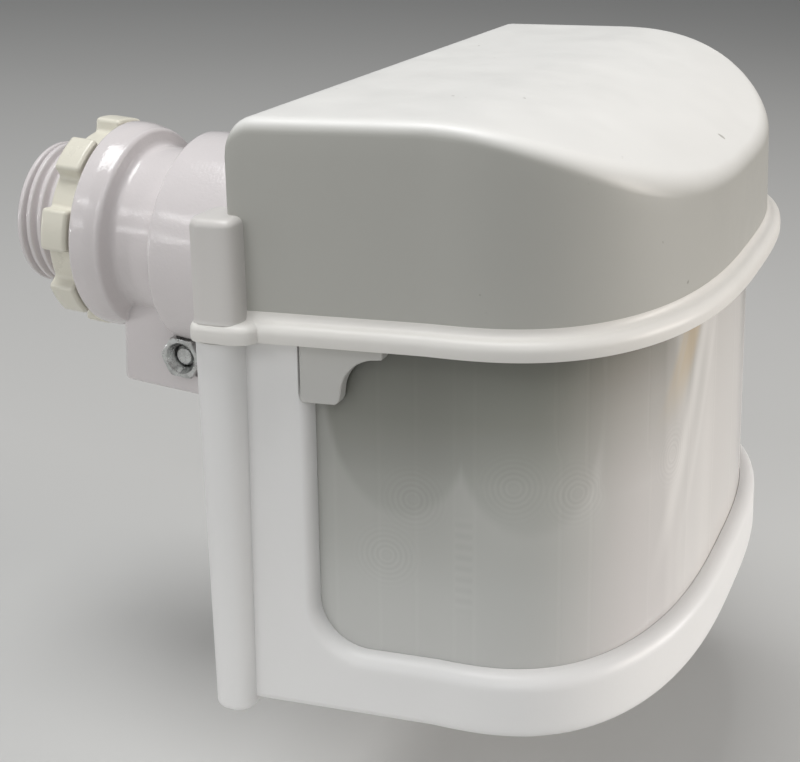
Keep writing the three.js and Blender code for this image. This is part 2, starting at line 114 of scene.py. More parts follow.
# Arm, in the row frame
THREAD_R = 10.4
THREAD_ROOT_R = 9.35
THREAD_PITCH = 1.814
STEM_END_Y = 7.6
WIRE_BORE_R = 6.5
FLANGE_Y = -4.4
FLANGE_R = 14.9
NECK_R = 12.0
CUP_Y = -17.2
CUP_R = 15.2
MOUTH_AHEAD = 5.9
MOUTH_Y = BALL_Y - MOUTH_AHEAD
BALL_R = 10.9
CAVITY_R = 12.3
NUT_THICK = 4.1
NUT_R = 13.3
LUG_R = 14.9
LUG_WIDTH = 5.9
LUG_COUNT = 8
LUG_PHASE = math.radians(8)
EAR_FACE = 7.2
EAR_BACK = -8.0
EAR_FRONT = -28.6
EAR_BOTTOM = -21.7
SLIT = 2.4
CLAMP_Y = -18.85
CLAMP_Z = -15.6
CLAMP_R = 1.45
HEX_R = 3.28  # the CAD has 3.18; the photograph's nut reads larger than both
HEX_THICK = 2.4
NUT_SINK = 0.9

HEAD_FRAME = Matrix.Translation((0, BALL_Y * MM, 0)) @ Matrix.Rotation(HEAD_TILT, 4, "X")
ROW_FRAME = Matrix.Identity(4)


# ---- mesh building ----


def spread(start, end, count):
    """count evenly spaced values from start to end."""
    return [start + (end - start) * i / (count - 1) for i in range(count)]


class Skin:
    """Gathers the surfaces of one piece, in millimetres, and makes them one mesh."""

    def __init__(self):
        self.points = []
        self.faces = []

    def grid(self, rows, wrap=False):
        """Quads between neighbouring rows of points; wrap joins each row's end to its start."""
        start, n = len(self.points), len(rows[0])
        for row in rows:
            self.points.extend(row)
        for r in range(len(rows) - 1):
            for c in range(n if wrap else n - 1):
                a = start + r * n + c
                b = start + r * n + (c + 1) % n
                self.faces.append((a, b, b + n, a + n))

    def flat(self, *loops):
        """A flat face inside the first loop, with the other loops as holes."""
        start = len(self.points)
        for loop in loops:
            self.points.extend(loop)
        for triangle in tessellate_polygon([[Vector(p) for p in loop] for loop in loops]):
            self.faces.append(tuple(start + i for i in triangle))

    def make(self, name, space, material, body, sharp=35, merge=False):
        """One object of everything gathered; merge joins triangles that lie in one plane."""
        mesh = bpy.data.meshes.new(name)
        mesh.from_pydata([Vector(p) * MM for p in self.points], [], self.faces)
        mesh.transform(space)
        bm = bmesh.new()
        bm.from_mesh(mesh)
        bmesh.ops.remove_doubles(bm, verts=bm.verts, dist=2e-6)
        bmesh.ops.dissolve_degenerate(bm, dist=1e-6, edges=bm.edges)
        bmesh.ops.recalc_face_normals(bm, faces=bm.faces)
        if merge:
            bmesh.ops.dissolve_limit(bm, angle_limit=math.radians(0.5), verts=bm.verts, edges=bm.edges)
        bm.to_mesh(mesh)
        bm.free()
        return place(name, mesh, material, body, sharp)


def place(name, mesh, material, body, sharp=35):
    mesh.polygons.foreach_set("use_smooth", [True] * len(mesh.polygons))
    mesh.set_sharp_from_angle(angle=math.radians(sharp))
    piece = bpy.data.objects.new(name, mesh)
    bpy.context.scene.collection.objects.link(piece)
    mesh.materials.append(material)
    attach(piece, body)
    return piece


def soften(piece, width=0.25, segments=2, angle=35):
    """Rounds the piece's sharp edges by a bevel of that width, in millimetres."""
    bevel = piece.modifiers.new("edge", "BEVEL")
    bevel.width = width * MM
    bevel.segments = segments
    bevel.limit_method = "ANGLE"
    bevel.angle_limit = math.radians(angle)
    bevel.harden_normals = True
    return piece


def turned_y(profile, sides=96):
    """Rings about the Y axis for (radius, y) pairs."""
    rows = []
    for r, y in profile:
        ring = [TURN * i / sides for i in range(sides)]
        rows.append([(r * math.cos(a), y, r * math.sin(a)) for a in ring])
    return rows


def turned_x(profile, sides, centre):
    """Rings about an axis along X for (radius, x) pairs; centre is (y, z)."""
    rows = []
    for r, x in profile:
        ring = [TURN * i / sides for i in range(sides)]
        rows.append([(x, centre[0] + r * math.cos(a), centre[1] + r * math.sin(a)) for a in ring])
    return rows


def arc(cr, ch, radius, start, end, steps=5):
    """(radius, height) pairs along an arc of a turned profile, angles in degrees."""
    angles = [math.radians(a) for a in spread(start, end, steps + 1)]
    return [(cr + radius * math.cos(a), ch + radius * math.sin(a)) for a in angles]


# ---- the head's plan ----


def side_station(y):
    return ("side", y)


def nose_station(t):
    return ("nose", t)


def half_stations(side_count, nose_count, back=BACK_Y):
    """Stations down the left half of the plan, from the back to the tip of the nose."""
    stations = [side_station(y) for y in spread(back, NOSE_START, side_count)]
    return stations + [nose_station(t) for t in spread(0, math.pi / 2, nose_count)[1:]]


def plan_xy(station, inset):
    """The left half's outline at a station, drawn inwards from the rim by inset."""
    kind, value = station
    half = RIM_HALF - inset
    if kind == "side":
        return -(half + SIDE_FLARE * (value - NOSE_START)), value
    x = -half * math.cos(value) ** (2 / NOSE_POWER) if value < math.pi / 2 - 1e-9 else 0.0
    return x, NOSE_START - (NOSE_DEPTH - inset) * math.sin(value) ** (2 / NOSE_POWER)


def drafted(x, y, z, slope, share):
    """Widens a point of the plan below the rim and narrows it above."""
    drop = RIM_Z - z
    x *= 1 + slope * drop / RIM_HALF
    if y < NOSE_START:
        y = NOSE_START + (y - NOSE_START) * (1 + share * slope * drop / NOSE_DEPTH)
    return x, y, z


def hood_point(station, inset, z):
    return drafted(*plan_xy(station, inset), z, HOOD_DRAFT, HOOD_NOSE_SHARE)


def body_point(station, inset, z):
    return drafted(*plan_xy(station, BODY_INSET + inset), z, BODY_DRAFT, BODY_NOSE_SHARE)


def whole(row):
    """A row over the left half, carried on over the right half."""
    return row + [(-x, y, z) for x, y, z in reversed(row[:-1])]


def mirrored(row):
    return [(-x, y, z) for x, y, z in row]


def roof(y):
    ahead = max(0.0, ROOF_BEND_Y - y)
    return HOOD_TOP - ROOF_RADIUS + math.sqrt(max(ROOF_RADIUS**2 - ahead**2, 1.0))


# ---- materials ----


def shader(name, **inputs):
    material = bpy.data.materials.new(name)
    material.use_nodes = True
    nodes = material.node_tree.nodes
    principled = nodes["Principled BSDF"]
    for key, value in inputs.items():
        principled.inputs[key.replace("_", " ")].default_value = value
    return material, material.node_tree, principled


def noise(tree, scale, detail=3.0, roughness=0.5, stretch=(1, 1, 1)):
    """Noise over the object's own coordinates; scale counts features per metre."""
    coordinates = tree.nodes.new("ShaderNodeTexCoord")
    mapping = tree.nodes.new("ShaderNodeMapping")
    mapping.inputs["Scale"].default_value = stretch
    texture = tree.nodes.new("ShaderNodeTexNoise")
    texture.inputs["Scale"].default_value = scale
    texture.inputs["Detail"].default_value = detail
    texture.inputs["Roughness"].default_value = roughness
    tree.links.new(coordinates.outputs["Object"], mapping.inputs["Vector"])
    tree.links.new(mapping.outputs["Vector"], texture.inputs["Vector"])
    return texture.outputs["Fac"]


def ramp(tree, value, *stops):
    node = tree.nodes.new("ShaderNodeValToRGB")
    elements = node.color_ramp.elements
    while len(elements) < len(stops):
        elements.new(0.5)
    for element, (position, colour) in zip(elements, stops):
        element.position = position
        element.color = (*colour, 1) if isinstance(colour, tuple) else (colour, colour, colour, 1)
    tree.links.new(value, node.inputs["Fac"])
    return node.outputs["Color"]


def bump(tree, principled, height, strength, distance):
    """Adds a bump of that depth in millimetres after any the shader already has."""
    node = tree.nodes.new("ShaderNodeBump")
    node.inputs["Strength"].default_value = strength
    node.inputs["Distance"].default_value = distance * MM
    tree.links.new(height, node.inputs["Height"])
    for link in list(principled.inputs["Normal"].links):
        tree.links.new(link.from_socket, node.inputs["Normal"])
    tree.links.new(node.outputs["Normal"], principled.inputs["Normal"])


class Field:
    """A number that varies over a surface, worked out by math nodes."""

    def __init__(self, tree, socket):
        self.tree = tree
        self.socket = socket

    def op(self, operation, *others):
        node = self.tree.nodes.new("ShaderNodeMath")
        node.operation = operation
        for socket, value in zip(node.inputs, (self, *others)):
            if isinstance(value, Field):
                self.tree.links.new(value.socket, socket)
            else:
                socket.default_value = value
        return Field(self.tree, node.outputs["Value"])

    def __add__(self, other):
        return self.op("ADD", other)

    def __sub__(self, other):
        return self.op("SUBTRACT", other)

    def __mul__(self, other):
        return self.op("MULTIPLY", other)

    def step(self, low, high, start=0.0, end=1.0):
        """Smoothly from start to end as the value goes from low to high."""
        node = self.tree.nodes.new("ShaderNodeMapRange")
        node.interpolation_type = "SMOOTHSTEP"
        self.tree.links.new(self.socket, node.inputs["Value"])
        for key, value in (("From Min", low), ("From Max", high), ("To Min", start), ("To Max", end)):
            node.inputs[key].default_value = value
        return Field(self.tree, node.outputs["Result"])

    def near(self, centre, width, soft):
        """One within width of the centre, falling to zero over soft."""
        return (self - centre).op("ABSOLUTE").step(width, width + soft, 1.0, 0.0)


def mixed(tree, factor, first, second, blend="MIX"):
    node = tree.nodes.new("ShaderNodeMix")
    node.data_type = "RGBA"
    node.blend_type = blend
    for key, value in (("Factor", factor), ("A", first), ("B", second)):
        socket = next(i for i in node.inputs if i.name == key and i.enabled)
        if isinstance(value, Field):
            value = value.socket
        if isinstance(value, tuple):
            socket.default_value = (*value, 1)
        elif isinstance(value, (int, float)):
            socket.default_value = value
        else:
            tree.links.new(value, socket)
    return next(o for o in node.outputs if o.enabled)


def moulded(name, colour, shade, rough=(0.32, 0.46), grain=0.02, grain_scale=1400, specks=False, wall=None):
    """Moulded plastic: two close tones, uneven gloss and a fine grain.

    specks adds dust; wall is how much of the tone is left on upright faces, as painted shade that keeps them
    darker than the tops.
    """
    material, tree, principled = shader(name, IOR=1.48)
    tone = ramp(tree, noise(tree, 38, 4.0), (0.3, shade), (0.7, colour))
    if specks:
        dust = ramp(tree, noise(tree, 420, 2.0), (0.205, (0.32, 0.30, 0.26)), (0.235, (1.0, 1.0, 1.0)))
        tone = mixed(tree, 0.6, tone, dust, "MULTIPLY")
    # Painted shade: upright faces take a darker tone than the tops of the same plastic.
    if wall:
        coordinates = tree.nodes.new("ShaderNodeTexCoord")
        split = tree.nodes.new("ShaderNodeSeparateXYZ")
        tree.links.new(coordinates.outputs["Normal"], split.inputs["Vector"])
        upright = Field(tree, split.outputs["Z"]).step(0.2, 0.85, 1.0, 0.0)
        tone = mixed(tree, upright, tone, mixed(tree, 1.0, tone, wall, "MULTIPLY"))
    tree.links.new(tone, principled.inputs["Base Color"])
    gloss = ramp(tree, noise(tree, 160, 5.0, 0.6), (0.25, rough[0]), (0.75, rough[1]))
    tree.links.new(gloss, principled.inputs["Roughness"])
    bump(tree, principled, noise(tree, grain_scale, 2.0), 0.5, grain)
    return material


def plated(name, colour, rough=(0.2, 0.42)):
    """Plated steel: cloudy gloss, fine marks and a dulled tone here and there."""
    material, tree, principled = shader(name, Metallic=1.0)
    dull = tuple(c * 0.62 for c in colour)
    tone = ramp(tree, noise(tree, 700, 4.0, 0.65), (0.32, dull), (0.6, colour))
    tree.links.new(tone, principled.inputs["Base Color"])
    gloss = ramp(tree, noise(tree, 1100, 4.0), (0.3, rough[0]), (0.7, rough[1]))
    tree.links.new(gloss, principled.inputs["Roughness"])
    bump(tree, principled, noise(tree, 2600, 3.0), 0.4, 0.02)
    return material


# The lens, all in millimetres: its sheet's height range and length, the joints between its upright
# strips (distance from the middle of the nose), the centres of the ring patterns, and the two
# hollows of the painted shade on it.
LENS_LOW = -37.0
LENS_HIGH = RIM_Z - 0.5
LENS_LENGTH = 142.4
LENS_JOINTS = (66.2, 61.0, 56.7, 52.3, 50.0, 40.5, 36.7, 27.0, 17.0, 6.0)
LENS_RINGS = ((57.1, -15.0), (60.2, -22.0), (45.7, -12.5), (38.6, -13.7), (22.0, -14.0))
LENS_SHADES = ((58.5, 8.6, 14.0), (43.6, 9.4, 15.2))


def lens_plastic():
    """Milky sheet with upright strips and faint rings; painted shade where the hood hides the light, painted
    light and reflections elsewhere.
    """
    material, tree, principled = shader("lens_plastic", IOR=1.5)
    uv = tree.nodes.new("ShaderNodeUVMap")
    uv.uv_map = "lens"
    split = tree.nodes.new("ShaderNodeSeparateXYZ")
    tree.links.new(uv.outputs["UV"], split.inputs["Vector"])
    along = (Field(tree, split.outputs["X"]) - 0.5) * -LENS_LENGTH
    side = along.op("ABSOLUTE")
    height = Field(tree, split.outputs["Y"]) * (LENS_HIGH - LENS_LOW) + LENS_LOW
    share = Field(tree, split.outputs["Y"])

    # Painted shade and light: both ramps darken the sheet towards the top under the hood, and the front one
    # is lighter as painted light.
    flank = ramp(tree, share.socket, (0.0, (0.58, 0.58, 0.56)), (0.3, (0.54, 0.545, 0.52)),
                 (0.62, (0.46, 0.465, 0.43)), (0.8, (0.29, 0.295, 0.26)), (1.0, (0.17, 0.175, 0.15)))
    front = ramp(tree, share.socket, (0.0, (0.64, 0.615, 0.605)), (0.55, (0.58, 0.56, 0.54)),
                 (0.8, (0.40, 0.385, 0.355)), (1.0, (0.18, 0.17, 0.14)))
    tone = mixed(tree, side.step(44.0, 29.0), flank, front)

    # Painted shade in two hollows on the flank; around them the upper flank is painted lighter.
    shade = None
    for centre, width, depth in LENS_SHADES:
        across = (side - centre) * (1 / width)
        down = (height + 3.0) * (1 / depth)
        inside = (across * across + down * down).step(0.86, 1.12, 1.0, 0.0)
        shade = inside if shade is None else shade.op("MAXIMUM", inside)
    lit = (shade * -1.0 + 1.0) * side.step(34.0, 36.0) * height.step(-24.0, -12.0)
    tone = mixed(tree, lit * 0.5, tone, (0.62, 0.62, 0.59))

    # Painted shade: the upper part of the back of each flank is darkened.
    tone = mixed(tree, side.step(45.0, 56.0) * share.step(0.2, 0.7) * 0.26, tone, (0.06, 0.06, 0.05))
    # Painted light: the middle of the nose is lightened.
    tone = mixed(tree, side.step(15.0, 9.0) * 0.75, tone, (0.74, 0.71, 0.68))
    # Painted reflections: lighter upright streaks on each side of the nose.
    wander = Field(tree, noise(tree, 90, 2.0, stretch=(1.0, 1.0, 0.12)))
    painted_reflection_streaks = wander.step(0.48, 0.66) * side.step(40.0, 30.0) * side.step(4.0, 10.0)
    tone = mixed(tree, painted_reflection_streaks * 0.45, tone, (0.82, 0.80, 0.77))
    # Painted reflections: two slanting bright lines over the lower front.
    slant = along + height * 0.5
    painted_reflection_lines = (slant.near(11.5, 0.1, 2.6) + slant.near(6.0, 0.1, 1.6) * 0.5) * height.step(-31.0, -14.0)
    tone = mixed(tree, painted_reflection_lines * 0.45, tone, (0.88, 0.86, 0.83))
    amber = (slant - along * 0.25).near(12.0, 0.6, 2.4) * height.step(-11.0, -2.0)
    tone = mixed(tree, amber * 0.6, tone, (0.56, 0.42, 0.23))

    rings = None
    for centre, middle in LENS_RINGS:
        across, up = side - centre, height - middle
        far = (across * across + up * up).op("SQRT")
        part = (far * (TURN / 0.62)).op("SINE") * far.step(1.0, 5.2, 1.0, 0.0) * far.step(0.2, 0.9)
        rings = part if rings is None else rings + part
    ribs = (height * (TURN / 1.3)).op("SINE") * side.near(51.2, 0.9, 0.25) * height.near(-22.0, 4.5, 2.0)
    rings = rings + ribs * 0.8
    joints = None
    for centre in LENS_JOINTS:
        line = side.near(centre, 0.05, 0.32)
        joints = line if joints is None else joints + line
    light = rings * 0.035 + joints * 0.02
    tone = mixed(tree, 1.0, tone, (light + 1.0).socket, "MULTIPLY")
    tree.links.new(tone, principled.inputs["Base Color"])

    principled.inputs["Roughness"].default_value = 0.27
    principled.inputs["Coat Weight"].default_value = 0.35
    principled.inputs["Coat Roughness"].default_value = 0.1
    bump(tree, principled, (rings * 0.5 + joints * -1.0).socket, 0.3, 0.04)
    return material


# The hood's upright faces carry painted shade through the wall tone; its specks are dust.
HOOD_PLASTIC = moulded("hood_plastic", (0.80, 0.795, 0.77), (0.77, 0.765, 0.74), specks=True,
                       wall=(0.61, 0.61, 0.585))
BODY_PLASTIC = moulded("body_plastic", (0.83, 0.825, 0.815), (0.805, 0.80, 0.79))
RIM_PLASTIC = moulded("rim_plastic", (0.83, 0.815, 0.78), (0.80, 0.78, 0.74))
BOSS_PLASTIC = moulded("boss_plastic", (0.66, 0.64, 0.615), (0.635, 0.615, 0.59))
# The tab is hood plastic darkened as painted shade under the rim.
TAB_SHADED_PLASTIC = moulded("tab_plastic_painted_shade", (0.60, 0.595, 0.57), (0.575, 0.57, 0.545), specks=True)
ARM_PLASTIC = moulded("arm_plastic", (0.71, 0.67, 0.67), (0.665, 0.63, 0.63), rough=(0.1, 0.16),
                      grain=0.065, grain_scale=2300)
NUT_PLASTIC = moulded("nut_plastic", (0.76, 0.735, 0.64), (0.71, 0.685, 0.585), rough=(0.22, 0.36),
                      grain=0.06)
SEAT_NYLON = moulded("seat_nylon", (0.60, 0.58, 0.52), (0.54, 0.52, 0.46))
TRIM_PLASTIC = moulded("trim_plastic", (0.68, 0.67, 0.62), (0.62, 0.61, 0.56))
BLACK_PLASTIC = moulded("black_plastic", (0.035, 0.035, 0.035), (0.022, 0.022, 0.022))
GASKET_RUBBER = moulded("gasket_rubber", (0.03, 0.03, 0.03), (0.018, 0.018, 0.018), rough=(0.7, 0.9),
                        grain=0.1)
RELAY_CASE = moulded("relay_case", (0.03, 0.06, 0.17), (0.02, 0.045, 0.13))
FILM_CASE = moulded("film_case", (0.58, 0.32, 0.05), (0.48, 0.25, 0.03), rough=(0.15, 0.3))
SLEEVE = moulded("capacitor_sleeve", (0.02, 0.03, 0.07), (0.012, 0.02, 0.05), rough=(0.2, 0.3))
POT_CASE = moulded("pot_case", (0.03, 0.09, 0.27), (0.02, 0.07, 0.22))
PHOTOCELL = moulded("photocell_ceramic", (0.5, 0.24, 0.08), (0.4, 0.17, 0.05))
LED_RED = moulded("led_red", (0.45, 0.012, 0.01), (0.38, 0.008, 0.006), rough=(0.05, 0.1))
SOLDER_MASK = moulded("solder_mask", (0.035, 0.17, 0.07), (0.025, 0.13, 0.05), rough=(0.2, 0.35))
ZINC = plated("zinc_plate", (0.62, 0.63, 0.62))
SENSOR_CAN = plated("sensor_can", (0.66, 0.62, 0.52), rough=(0.25, 0.4))
LENS_PLASTIC = lens_plastic()


# ---- hood ----


def roof_fillet(station):
    """The rounding between wall and roof is widest at the nose's corners and tightest at its tip."""
    kind, value = station
    if kind == "side":
        return ROOF_FILLET
    wider, tighter = CORNER_FILLET - ROOF_FILLET, ROOF_FILLET - TIP_FILLET
    return ROOF_FILLET + wider * math.sin(2 * value) ** 2 - tighter * math.sin(value) ** 4


def hood_shell():
    """The cap: walls up from the rim, a rounded edge, and a roof that bends down to the front."""
    turns = [math.radians(a) for a in spread(0, 90, 9)]
    columns = []
    for a in turns:
        behind = 1 - math.sin(a)
        columns.append((side_station(BACK_Y - BACK_FILLET * (1 - math.cos(a))), BACK_EDGE * behind**3,
                        BACK_FILLET * behind))
    columns += [(s, 0.0, 0.0) for s in half_stations(14, 56, BACK_Y - BACK_FILLET)[1:]]
    low = RIM_Z + 0.4

    def edge_row(turn):
        row = []
        for station, extra, sunk in columns:
            fillet = roof_fillet(station)
            inset = HOOD_INSET + extra + fillet * (1 - math.cos(turn))
            y = hood_point(station, inset, HOOD_TOP)[1]
            row.append(hood_point(station, inset, roof(y) - sunk - fillet * (1 - math.sin(turn))))
        return row

    top_of_wall = edge_row(0.0)
    rows = []
    for w in spread(0, 1, 10)[:-1]:
        row = []
        for (station, extra, _), (_, _, high) in zip(columns, top_of_wall):
            row.append(hood_point(station, HOOD_INSET + extra, low + (high - low) * w))
        rows.append(row)
    rows += [edge_row(a) for a in turns]
    brow = rows[-1]
    for t in spread(0, 1, 22)[1:]:
        row = []
        for (_, _, sunk), (x, y, _) in zip(columns, brow):
            if y < NOSE_START:
                y = NOSE_START + (y - NOSE_START) * (1 - t)
            row.append((x * (1 - t), y, roof(y) - sunk))
        rows.append(row)
    skin = Skin()
    skin.grid([whole(row) for row in rows])
    shell = skin.make("hood", HEAD_FRAME, HOOD_PLASTIC, "head", sharp=50)
    wall = shell.modifiers.new("wall", "SOLIDIFY")
    wall.thickness = HOOD_WALL * MM
    wall.offset = -1
    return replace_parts(shell, "hood")


def hood_rim():
    """The flange round the foot of the hood and its two bosses, rounded on top."""
    top = RIM_Z + RIM_THICK
    crown, run, rise = 1.15, 0.6, 0.9
    section = [(HOOD_INSET + WALL, RIM_Z), (0.35, RIM_Z), (0.1, RIM_Z + 0.1), (0.0, RIM_Z + 0.35)]
    quarter = spread(0, math.pi / 2, 8)
    section += [(crown * (1 - math.cos(a)), top - crown + crown * math.sin(a)) for a in quarter]
    section += [(crown + run * math.sin(a), top + rise * (1 - math.cos(a))) for a in quarter[1:]]
    section += [(HOOD_INSET + 0.9, top + rise), (HOOD_INSET + WALL, RIM_Z)]
    stations = half_stations(16, 60)
    ring = BOSS_R + 0.4
    skirt = [(0.0, RIM_Z), (ring - 0.35, RIM_Z), (ring - 0.1, RIM_Z + 0.1), (ring, RIM_Z + 0.35)]
    skirt += arc(ring - 0.85, top - 0.85, 0.85, 0, 90, 6) + [(0.0, top)]
    skin = Skin()
    skin.grid([whole([(*plan_xy(s, inset), z) for s in stations]) for inset, z in section])
    for side in (-1, 1):
        skin.grid(post(side, skirt, 4.0, ahead=1.45, behind=0.7), wrap=True)
    rim = skin.make("hood_rim", HEAD_FRAME, RIM_PLASTIC, "head")
    return rim


def post(side, profile, squareness, sides=96, ahead=1.0, behind=1.0, facet=None):
    """Rings of a corner post, its section between a circle (2) and a square.

    ahead and behind stretch the section's front and back halves; facet is the bearing from outward
    towards the back, and the distance as a share of the radius, of a flat that trims it.
    """
    rows = []
    for r, z in profile:
        x0 = side * COLUMN_X + side * COLUMN_LEAN * (RIM_Z - z)
        row = []
        for i in range(sides):
            c, s = math.cos(TURN * i / sides), math.sin(TURN * i / sides)
            reach = r / (abs(c) ** squareness + abs(s) ** squareness) ** (1 / squareness)
            if facet:
                slope = side * c * math.cos(facet[0]) + s * math.sin(facet[0])
                reach = min(reach, facet[1] * r / slope) if slope > 0 else reach
            row.append((x0 + reach * c, COLUMN_Y + reach * s * (ahead if s < 0 else behind), z))
        rows.append(row)
    return rows


def hood_boss(side, name):
    """The squarish boss at a back corner, with a flat along its rear edge."""
    top = RIM_Z + RIM_THICK
    profile = [(0.0, RIM_Z + 0.5), (BOSS_R - 0.5, RIM_Z + 0.5), (BOSS_R - 0.5, top - 0.3)]
    profile += [(BOSS_R + 0.12, top - 0.1), (BOSS_R + 0.06, top + 0.12), (BOSS_R, top + 0.4)]
    profile.append((BOSS_R, BOSS_TOP - 0.9))
    profile += arc(BOSS_R - 0.9, BOSS_TOP - 0.9, 0.9, 0, 90, 7) + [(0.0, BOSS_TOP + 0.15)]
    skin = Skin()
    skin.grid(post(side, profile, 5.0, 128, behind=0.62, facet=(math.radians(16), 1.08)), wrap=True)
    return skin.make(name, HEAD_FRAME, BOSS_PLASTIC, "head", sharp=18)


def tab_outline():
    """The corner tab in side view: a hanging tongue with a quarter-round cut in front."""
    rear = WINDOW_Y + BEVEL_SIDE - 0.17
    points = [(rear, RIM_Z + 1), (rear, TAB_LOW + 0.3)]
    for a in spread(0, math.pi / 2, 4):
        points.append((rear - 0.3 + 0.3 * math.cos(a), TAB_LOW + 0.3 - 0.3 * math.sin(a)))
    points += [(-29.1, TAB_LOW), (-29.5, TAB_LOW + 0.2), (-29.8, TAB_LOW + 0.8)]
    points += [(-34 + 4.1 * math.cos(a), -2.8 + 4.1 * math.sin(a)) for a in spread(0.06, math.pi / 2, 12)]
    points += [(-34.6, 1.35), (-34.75, 1.6), (-34.75, RIM_Z + 1)]
    return points


def hood_tab(side, name):
    """A tab under the rim at a window's back corner, standing on the housing's wall."""
    def layer(inset):
        loop = []
        for y, z in tab_outline():
            x, y, z = body_point(side_station(y), inset, z)
            loop.append((-side * x, y, z))
        return loop

    outer, inner = layer(0.0), layer(1.6)
    skin = Skin()
    skin.grid([outer, inner], wrap=True)
    skin.flat(outer)
    skin.flat(inner)
    tab = soften(skin.make(name, HEAD_FRAME, TAB_SHADED_PLASTIC, "head", merge=True), 0.22, 3)
    return tab


# ---- lower housing ----


def window_path(grow_side, grow_sill, top):
    """The window's edge down the left wall and along the sill to the tip of the nose."""
    corner_y, corner_z = WINDOW_Y - WINDOW_CORNER, WINDOW_Z + WINDOW_CORNER
    path = [(side_station(WINDOW_Y + grow_side), z) for z in spread(top, corner_z, 28)]
    for a in spread(0, math.pi / 2, 14)[1:]:
        y = corner_y + (WINDOW_CORNER + grow_side) * math.cos(a)
        path.append((side_station(y), corner_z - (WINDOW_CORNER + grow_sill) * math.sin(a)))
    path += [(side_station(y), WINDOW_Z - grow_sill) for y in spread(corner_y, NOSE_START, 6)[1:]]
    path += [(nose_station(t), WINDOW_Z - grow_sill) for t in spread(0, math.pi / 2, 56)[1:]]
    return path


def frame_path(low, top):
    """The wall's outer border, station by station with window_path: down the back, then along the foot."""
    corner_y, corner_z = WINDOW_Y - WINDOW_CORNER, WINDOW_Z + WINDOW_CORNER
    path = [(side_station(BACK_Y), z) for z in spread(top, corner_z, 28)]
    path += [(side_station(BACK_Y), z) for z in spread(corner_z, low, 7)[1:]]
    path += [(side_station(y), low) for y in spread(BACK_Y, corner_y, 8)[1:]]
    path += [(side_station(y), low) for y in spread(corner_y, NOSE_START, 6)[1:]]
    path += [(nose_station(t), low) for t in spread(0, math.pi / 2, 56)[1:]]
    return path


def between(a, b, w):
    (kind, va), za = a
    (_, vb), zb = b
    return (kind, va + (vb - va) * w), za + (zb - za) * w


def lower_housing():
    """The lower shell: side frames and sill round the window, its edge rounded, and the floor."""
    foot = BASE_Z + FOOT_FILLET
    outer_edge = window_path(BEVEL_SIDE, BEVEL_SILL, BODY_TOP)
    inner_edge = window_path(0, 0, BODY_TOP)
    border = frame_path(foot, BODY_TOP)
    rows = [[body_point(s, WALL, z) for s, z in path] for path in (border, inner_edge)]
    turns = spread(0, math.pi / 2, 9)
    for turn in turns:
        path = []
        for a, b in zip(inner_edge, outer_edge):
            stepped = turn > 0 and a[1] > TAB_LOW + 0.7
            path.append(between(a, b, 1.0 if stepped else 1 - math.cos(turn)))
        rows.append([body_point(s, LIP_DEPTH * (1 - math.sin(turn)), z) for s, z in path])
    for w in spread(0, 1, 9)[1:]:
        path = [between(a, b, w) for a, b in zip(outer_edge, border)]
        rows.append([body_point(s, 0.0, z) for s, z in path])
    back = [i for i, (s, _) in enumerate(border) if s == side_station(BACK_Y)]
    skin = Skin()
    for side_rows in (rows, [mirrored(row) for row in rows]):
        skin.grid(side_rows)
        skin.grid([[side_rows[0][0], side_rows[-1][0]], [side_rows[1][0], side_rows[1 + len(turns)][0]]])
        skin.grid([[side_rows[0][i] for i in back], [side_rows[-1][i] for i in back]])
    add_floor(skin)
    housing = skin.make("lower_housing", HEAD_FRAME, BODY_PLASTIC, "head")
    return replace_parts(housing, "lower_housing")


def add_floor(skin):
    """The housing's underside, with the knob's hole and the slider's slot."""
    stations = half_stations(16, 56)
    turns = [math.radians(a) for a in spread(0, 90, 5)]
    rows = []
    for a in turns:
        inset, z = FOOT_FILLET * (1 - math.cos(a)), BASE_Z + FOOT_FILLET * (1 - math.sin(a))
        rows.append(whole([body_point(s, inset, z) for s in stations]))
    skin.grid(rows)
    half, deep, corner = 6.4, 1.9, 0.6
    hole = [(KNOB[0] + 5 * math.cos(a), KNOB[1] + 5 * math.sin(a)) for a in spread(0, TURN, 49)[:-1]]
    slot = [(SLIDER[0] + sx * (half - corner) + corner * math.cos(a + q),
             SLIDER[1] + sy * (deep - corner) + corner * math.sin(a + q))
            for sx, sy, q in ((1, 1, 0), (-1, 1, math.pi / 2), (-1, -1, math.pi), (1, -1, 1.5 * math.pi))
            for a in spread(0, math.pi / 2, 5)]
    openings = [[(x, y, BASE_Z) for x, y in loop] for loop in (hole, slot)]
    skin.flat(rows[-1], *openings)
    for loop in openings:
        skin.grid([loop, [(x, y, z + WALL) for x, y, z in loop]], wrap=True)


def corner_column(side, name):
    """A leaning screw column at a back corner, open below for its screw."""
    def radius(z):
        return COLUMN_R - COLUMN_TAPER * (BODY_TOP - z)

    end = radius(COLUMN_END)
    profile = [(1.5, BODY_TOP), (radius(BODY_TOP), BODY_TOP)]
    profile += [(radius(z), z) for z in spread(BODY_TOP, COLUMN_END + 0.8, 8)[1:]]
    profile += arc(end - 0.8, COLUMN_END + 0.8, 0.8, 0, -90, 6)
    profile += [(1.75, COLUMN_END), (1.6, COLUMN_END + 0.2), (1.6, -7.4)]
    skin = Skin()
    skin.grid(post(side, profile, 2.5), wrap=True)
    return skin.make(name, HEAD_FRAME, BODY_PLASTIC, "head")


# ---- lens ----


